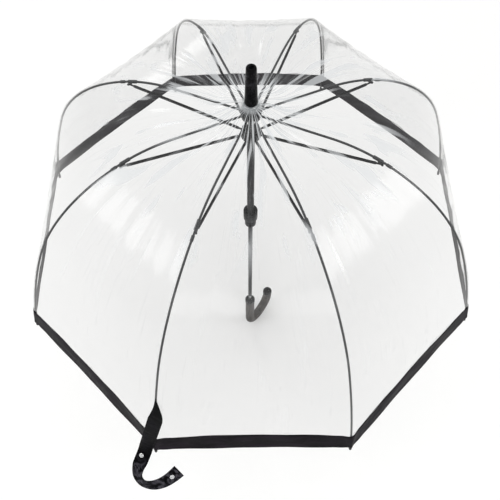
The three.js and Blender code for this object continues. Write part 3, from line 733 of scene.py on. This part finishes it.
def makePetal(k, angle, lift):
    # The film over the crown, a sector as wide as a gore, gathered in pleats round the ferrule
    distances = np.linspace(crown["mouth"] - rib["pivotRadius"], crown["petal"], 26)
    halves = []
    for side in (-1, 1):
        across = np.linspace(1, 0, 14)[:-1] if side < 0 else np.linspace(0, 1, 14)
        halves.append(goreSheet(side, k, distances, across, lift))
    points, uv, fromRib = [np.concatenate([halves[0][i], halves[1][i]], axis=1) for i in range(3)]
    radius = np.hypot(points[..., 0], points[..., 1])
    pleat = np.sin(2 * math.pi * crown["pleats"] * uv[..., 0])
    pleat = pleat * np.exp(-((radius - crown["pleatAt"]) / crown["pleatWide"]) ** 2)
    ring = np.exp(-((radius - crown["ringAt"]) / crown["ringWide"]) ** 2)
    points[..., 2] += crown["pleatDepth"] * pleat + crown["ring"] * ring
    part = sheetPart(turnedBy(points, angle), uv)
    unseamed = {"fromRib": np.abs(fromRib) + 0.01}
    petal = piece(f"film_crown_{k + 1}", [part], materials["film"], 180, False, unseamed)
    ends = np.array([[crown[key], 0, crown["height"]] for key in ("blendFrom", "blendTo")])
    start, end = turnedBy(ends, angle)
    f"rib_inner_{k + 1}"
    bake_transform(petal)
    outer = float(radius.max())
    inner = crown["mouth"]
    area = float((outer ** 2 - inner ** 2) * halfGore)
    flat = (2 * outer * math.sin(halfGore), outer - inner)
    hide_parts("canopy")


makeFilm()
print("film made")


# The hem is a vinyl binding folded over the film's edge, with a rolled lower edge and a few pinches by
# each cap
hem = {
    "from": 0.603, "to": 0.646, "inside": 0.0029, "outside": 0.0043, "columns": 32, "keep": 0.05,
    "archTop": 0.011, "archFoot": 0.005, "pull": 0.004, "pullReach": 0.045,
    "roll": 0.0006, "rollAt": 0.93, "rollWide": 0.07,
    "pinch": 0.0011, "pinchReach": 0.014, "pinchStep": 0.0042, "pinchClear": 0.003,
    "wave": 0.0006, "waveStep": 0.021,
}


def hemPart(side, k):
    # Its section is a flat oval, |x|^p + |y|^q = 1, run from the rib to the mid gore
    wide = hem["to"] - hem["from"]
    half = (hem["outside"] - hem["inside"]) / 2
    middle = (hem["outside"] + hem["inside"]) / 2
    turn = np.linspace(0, 2 * math.pi, 40, endpoint=False)
    c, s = np.cos(turn), np.sin(turn)
    down = hem["from"] + wide * (0.5 - 0.5 * np.sign(c) * np.abs(c) ** 0.55)
    share = (down - hem["from"]) / wide
    roll = hem["roll"] * np.exp(-((share - hem["rollAt"]) / hem["rollWide"]) ** 2)
    thick = np.sign(s) * (half * np.abs(s) ** 0.3 + roll * np.abs(s))
    sine, cosine = math.sin(halfGore), math.cos(halfGore)
    rings, uvs = [], []
    for w in np.linspace(0, 1, hem["columns"]) ** 1.4:
        arch = hem["archTop"] + (hem["archFoot"] - hem["archTop"]) * share
        pull = hem["pull"] * share ** 3 * math.exp(-w / hem["pullReach"])
        x, z, slope = ribLine(down + pull - arch * (1 - (1 - w) ** 2), middle)
        away = w * x * sine
        pinch = hem["pinch"] * np.exp(-away / hem["pinchReach"]) * np.minimum(away / hem["pinchClear"], 1)
        pinch = pinch * np.sin(away / hem["pinchStep"] + 3 * share)
        wave = hem["wave"] * np.sin(away / hem["waveStep"] + 2 * k + 3 * share) * np.sin(math.pi * w)
        out = thick + pinch + wave
        rings.append(np.stack([
            x * (1 - w * sine * sine) + out * np.sin(slope) * cosine,
            side * (w * x * sine * cosine + out * np.sin(slope) * sine),
            z + out * np.cos(slope),
        ], -1))
        uvs.append(np.stack([away + k, down + (thick < 0) * 0.05], -1))
    return tubePart(np.array(rings), np.array(uvs), flip=side > 0)


def makeHem():
    for k, angle in enumerate(ribAngles):
        for side in (1, -1):
            part = moved(hemPart(side, k), lambda points: turnedBy(points, angle))
            label = f"hem_{k + 1}_{'left' if side < 0 else 'right'}"
            band = piece(label, [part], materials["hem"], 60, False)
            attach(band, f"rib_outer_{k + 1}")
            foldsToRib(band, side, angle, elbowAt, ribEnd, hem["outside"])
            width = float(ribLine(hem["to"])[0]) * math.sin(halfGore)
            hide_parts("hem_binding")


makeHem()
print("hem made")


# The tie strap is sewn to the first rib in a gather, crosses the hem, runs straight out past the rib's tip
# and turns up again by two arcs, in a plane that leans out. Places are in the rib's own frame.
strap = {
    "width": 0.025, "thickness": 0.0008, "stations": 170, "leastSpread": 0.1,
    "lift": 0.006, "rootLift": 0.0046, "liftFrom": 0.482, "liftTo": 0.524,
    "ridge": 0.0003, "ridgeAt": 0.84, "ridgeWide": 0.06,
    "cup": 0.0007, "cupStep": 0.05,
    # distance along the rib, drift sideways, and how much of the gathered width is spread out
    "over": (
        (0.482, 0.002, 0.12), (0.503, 0.0045, 0.5), (0.514, 0.005, 0.74), (0.524, 0.0045, 0.9),
        (0.534, 0.003, 1), (0.575, -0.0035, 1), (0.605, -0.0085, 1), (0.640, -0.0145, 1),
    ),
    "free": ((0.4454, -0.0181, 0.3251), (0.4695, -0.021, 0.305)),
    "right": (-0.368, 0.930, 0.0), "up": (-0.821, -0.325, 0.470), "heading": -107,
    "bends": ({"radius": 0.022, "turn": 107, "steps": 3}, {"radius": 0.058, "turn": 41, "steps": 2}),
    "end": 0.016,
    "leans": (30, 40, 42, 37, 28, 20, 12),
}


def smoothThrough(points, count):
    # A curve through the points by cubic Hermite pieces, with each slope worked out from its neighbours
    points = np.asarray(points, float)
    along = np.concatenate([[0], np.cumsum(np.linalg.norm(np.diff(points[:, :3], axis=0), axis=1))])
    slopes = np.gradient(points, along, axis=0)
    where = np.linspace(0, along[-1], count)
    i = np.clip(np.searchsorted(along, where, side="right") - 1, 0, len(points) - 2)
    span = (along[i + 1] - along[i])[:, None]
    t = (where[:, None] - along[i][:, None]) / span
    a, b = 2 * t ** 3 - 3 * t ** 2 + 1, t ** 3 - 2 * t ** 2 + t
    c, d = -2 * t ** 3 + 3 * t ** 2, t ** 3 - t ** 2
    return a * points[i] + b * span * slopes[i] + c * points[i + 1] + d * span * slopes[i + 1], where


def bendStops():
    # Along an arc of radius r from heading a to b: right by r(sin b - sin a), up by r(cos a - cos b)
    heading, place = math.radians(strap["heading"]), np.zeros(2)
    stops = [(*place, heading)]
    for bend in strap["bends"]:
        for _ in range(bend["steps"]):
            after = heading + math.radians(bend["turn"]) / bend["steps"]
            right = math.sin(after) - math.sin(heading)
            up = math.cos(heading) - math.cos(after)
            place = place + bend["radius"] * np.array([right, up])
            heading = after
            stops.append((*place, heading))
    place = place + strap["end"] * np.array([math.cos(heading), math.sin(heading)])
    return [*stops, (*place, heading)]


def strapStations():
    # Place, direction of the width and share of it, at each stop, as one row of seven numbers
    rows = []
    for distance, drift, spread in strap["over"]:
        reach = [strap["liftFrom"], strap["liftTo"]]
        lift = np.interp(distance, reach, [strap["rootLift"], strap["lift"]])
        x, z, _ = ribLine(distance, lift)
        rows.append([float(x), drift, float(z), 0, 1, 0, spread])
    start, corner = np.array(strap["free"])
    rows += [[*start, 0, 1, 0, 1], [*(start + corner) / 2, 0, 1, 0, 1]]
    right, up = np.array(strap["right"]), np.array(strap["up"])
    out = np.cross(right, up)
    for (toRight, toUp, heading), lean in zip(bendStops(), np.radians(strap["leans"])):
        across = up * math.cos(heading) - right * math.sin(heading)
        across = across * math.cos(lean) + out * math.sin(lean)
        rows.append([*(corner + right * toRight + up * toUp), *across, 1])
    return np.array(rows)


def makeStrap():
    # Its section is a flat oval with a pressed line along each edge, cupped more or less along its length
    stations, where = smoothThrough(strapStations(), strap["stations"])
    centre, across = stations[:, :3], stations[:, 3:6]
    spread = np.clip(stations[:, 6:], strap["leastSpread"], 1)
    across = across / np.linalg.norm(across, axis=1)[:, None] * spread * strap["width"] / 2
    run = np.gradient(centre, axis=0)
    normal = np.cross(run, across)
    normal /= np.linalg.norm(normal, axis=1)[:, None]
    turn = np.linspace(0, 2 * math.pi, 36, endpoint=False)[None, :]
    share = np.sign(np.cos(turn)) * np.abs(np.cos(turn)) ** 0.5
    thick = strap["thickness"] / 2 * np.sign(np.sin(turn)) * np.abs(np.sin(turn)) ** 0.35
    ridge = strap["ridge"] * np.exp(-((np.abs(share) - strap["ridgeAt"]) / strap["ridgeWide"]) ** 2)
    ridge = ridge * np.sign(np.sin(turn))
    cup = strap["cup"] * (share ** 2 - 0.4) * np.sin(where / strap["cupStep"])[:, None] ** 2
    out = thick - ridge + cup
    rings = centre[:, None] + across[:, None] * share[..., None] + normal[:, None] * out[..., None]
    uv = np.stack([where[:, None] + 0 * share, share * strap["width"] / 2 + 0 * where[:, None]], -1)
    part = tubePart(turnedBy(rings, ribAngles[0]), uv, flip=True)
    band = piece("tie_strap_fine", [part], materials["strap"], 60, False)
    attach(band, "rib_outer_1")
    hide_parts("tie_strap")


makeStrap()
print("strap made")


# Turned parts on the shaft's line: outlines of (radius, height) from the foot round to the foot again
crookAngle = math.radians(54)
handle = {
    "grip": 0.0105, "crook": 0.038, "foot": -0.100, "top": 0.0477, "tip": -0.0383, "sides": 40,
    "easing": 0.0008, "easingReach": 0.0012, "ripple": 0.00015, "rippleSteps": (0.011, 0.0047),
    "capAbove": 0.0123,
}
shaftBore = 0.0046


def ferruleParts():
    low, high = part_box("ferrule")
    base, tip, shaftTop = low.z, high.z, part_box("shaft")[1].z
    return [lathePart([
        [0, shaftTop + 0.001], [shaftBore, shaftTop + 0.001], [shaftBore, base], [0.0096, base],
        [0.010, base + 0.001], [0.010, base + 0.003], [0.0094, base + 0.012], [0.0076, tip - 0.002],
        [0.0068, tip], [0.0036, tip], [0.0032, tip - 0.004], [0, tip - 0.004],
    ], 0.0009, 64, 5)]


def handleParts():
    # A round bar: straight down the shaft's line, half a turn round the crook's middle, and up to the cap
    heart = handle["foot"] + handle["grip"] + handle["crook"]
    straight = np.linspace(handle["top"], heart, 30)[:-1]
    turn = np.linspace(math.pi, 2 * math.pi, 48)
    rise = np.linspace(heart, handle["tip"], 12)[1:]
    x = np.concatenate([0 * straight, handle["crook"] * (1 + np.cos(turn)), 0 * rise + 2 * handle["crook"]])
    z = np.concatenate([straight, heart + handle["crook"] * np.sin(turn), rise])
    runX, runZ = np.gradient(x), np.gradient(z)
    size = np.hypot(runX, runZ)
    runX, runZ = runX / size, runZ / size
    length = np.concatenate([[0], np.cumsum(np.hypot(np.diff(x), np.diff(z)))])
    ends = np.minimum(length, length[-1] - length)
    slow, quick = handle["rippleSteps"]
    ripple = handle["ripple"] * np.sin(length / slow) * np.sin(length / quick)
    radius = handle["grip"] - handle["easing"] * np.exp(-ends / handle["easingReach"]) + ripple
    around = np.linspace(0, 2 * math.pi, handle["sides"], endpoint=False)[None, :]
    out, wide = radius[:, None] * np.cos(around), radius[:, None] * np.sin(around)
    rings = np.stack([x[:, None] - out * runZ[:, None], wide, z[:, None] + out * runX[:, None]], -1)
    uv = np.stack(np.broadcast_arrays(length[:, None], around * handle["grip"]), -1)
    return [tubePart(turnedBy(rings, crookAngle), uv)]


def endCapParts():
    tip = handle["tip"] + handle["capAbove"]
    cap = lathePart([
        [0, tip - 0.012], [0.0108, tip - 0.012], [0.011, tip - 0.0112], [0.011, tip - 0.0062],
        [0.0100, tip - 0.0026], [0.0062, tip - 0.0005], [0, tip],
    ], 0.0022, 48, 6)
    return [moved(cap, lambda points: turnedBy(points + np.array([2 * handle["crook"], 0, 0]), crookAngle))]


def handleCollarParts():
    low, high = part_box("handle_collar")
    return [lathePart([
        [shaftBore, low.z], [0.0112, low.z], [0.0112, high.z - 0.002], [0.0102, high.z], [0.0062, high.z],
        [0.0058, high.z - 0.0015], [shaftBore, high.z - 0.0015], [shaftBore, low.z],
    ], 0.0005, 56, 4)]


turnedPieces = {
    "ferrule": (ferruleParts(), "gloss", "black_plastic"),
    "handle": (handleParts(), "handle", "mottled_handle"),
    "handle_end_cap": (endCapParts(), "gloss", "black_plastic"),
    "handle_collar": (handleCollarParts(), "plastic", "black_plastic"),
}
for node, (parts, material, slot) in turnedPieces.items():
    made = piece(f"{node}_fine", parts, materials[material], 35)
    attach(made, "stick")
    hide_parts(node)


sharpAngle = math.radians(32)


# A node's own shape from the frame, with its corners merged, its edges eased and its round faces smooth
def eased(node, body, material, width):
    copy = bpy.data.objects.new(f"{node}_eased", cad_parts[node].data.copy())
    copy.data.materials.clear()
    copy.data.materials.append(materials[material])
    scene.collection.objects.link(copy)
    weldMesh(copy.data, 2e-6)
    copy.data.shade_smooth()
    copy.data.set_sharp_from_angle(angle=sharpAngle)
    if width:
        bevel = copy.modifiers.new("eased", "BEVEL")
        bevel.width = width
        bevel.segments = 2
        bevel.limit_method = "ANGLE"
        bevel.angle_limit = sharpAngle
        bevel.harden_normals = True
    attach(copy, body)
    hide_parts(node)


easedNodes = {
    "runner": ("runner", "plastic", "black_plastic", 0.0002),
    "runner_collar": ("runner", "plastic", "black_plastic", 0.00025),
    "top_notch": ("stick", "plastic", "black_plastic", 0.0002),
    "shaft": ("stick", "shaft", "shaft", 0),
    "snap_stud": ("rib_outer_1", "bright", "bare_steel", 0.00015),
    "snap_socket": ("rib_outer_1", "bright", "bare_steel", 0.00015),
}
for node, (body, material, slot, width) in easedNodes.items():
    eased(node, body, material, width)

keptNodes = {
    "notch_wire": "bright", "notch_pin": "bright", "runner_wire": "bright", "open_catch": "bright",
    "closed_catch": "bright", "canopy_washer": "washer",
}
for node, material in keptNodes.items():
    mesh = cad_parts[node].data
    mesh.materials.clear()
    mesh.materials.append(materials[material])
print("stick, runner and handle made")


# Studio: a pale floor under the crook, white surroundings and four soft lamps
studio = {
    "floorSize": 8.0, "floorHeight": cadBox[0].z - 0.0006, "surround": 0.85, "floorGlow": 0.12,
    "lamps": (
        {"at": (-2.1, -0.9, 2.0), "size": (0.9, 1.1), "power": 10},
        {"at": (2.2, -0.5, 1.9), "size": (0.8, 1.1), "power": 9},
        {"at": (0.2, -2.3, 1.5), "size": (1.4, 0.6), "power": 4},
        {"at": (-0.7, 2.0, 1.5), "size": (0.5, 0.7), "power": 3},
    ),
    "aim": (0, 0, 0.45),
}


def floorPaint():
    paint = Paint("paleFloor")
    cloud = paint.noise(paint.place(), 1.5, 2, 0.5)
    base = paint.blend(cloud, colour("f3f3f2"), colour("f8f8f7"))
    return paint.finish(paint.surface(
        baseColor=base, roughness=0.85, specularIorLevel=0.2,
        emissionColor=(1, 1, 1, 1), emissionStrength=studio["floorGlow"],
    ))


def makeStudio():
    half, height = studio["floorSize"] / 2, studio["floorHeight"]
    lines = np.linspace(-half, half, 9)
    x, y = np.meshgrid(lines, lines, indexing="ij")
    points = np.stack([x, y, 0 * x + height], -1)
    part = sheetPart(points, np.stack([x, y], -1))
    floor = piece("floor", [part], floorPaint())
    world = bpy.data.worlds.new("surround")
    scene.world = world
    world.use_nodes = True
    background = world.node_tree.nodes["Background"]
    background.inputs["Color"].default_value = (1, 1, 1, 1)
    background.inputs["Strength"].default_value = studio["surround"]
    for i, lamp in enumerate(studio["lamps"]):
        light = bpy.data.lights.new(f"lamp_{i + 1}", "AREA")
        light.shape = "RECTANGLE"
        light.size, light.size_y = lamp["size"]
        light.energy = lamp["power"]
        holder = bpy.data.objects.new(light.name, light)
        holder.location = lamp["at"]
        towards = Vector(studio["aim"]) - Vector(lamp["at"])
        holder.rotation_euler = towards.to_track_quat("-Z", "Y").to_euler()
        scene.collection.objects.link(holder)


view = {
    "elevation": 61.95, "azimuth": -0.92, "roll": 0.26, "distance": 1.310, "aim": (-0.0008, -0.0114, 0.320),
    "lens": 47.05, "shiftUp": 0.0024,
}


def makeCamera():
    camera = bpy.data.objects.new("camera", bpy.data.cameras.new("camera"))
    camera.data.lens = view["lens"]
    camera.data.sensor_width = 36
    camera.data.shift_y = view["shiftUp"]
    turn, up = math.radians(view["azimuth"]), math.radians(view["elevation"])
    back = Vector((math.sin(turn) * math.cos(up), -math.cos(turn) * math.cos(up), math.sin(up)))
    camera.location = Vector(view["aim"]) + back * view["distance"]
    facing = (-back).to_track_quat("-Z", "Y").to_matrix().to_4x4()
    camera.rotation_euler = (facing @ Matrix.Rotation(math.radians(view["roll"]), 4, "Z")).to_euler()
    scene.collection.objects.link(camera)
    scene.camera = camera


makeStudio()
makeCamera()
print("studio made")
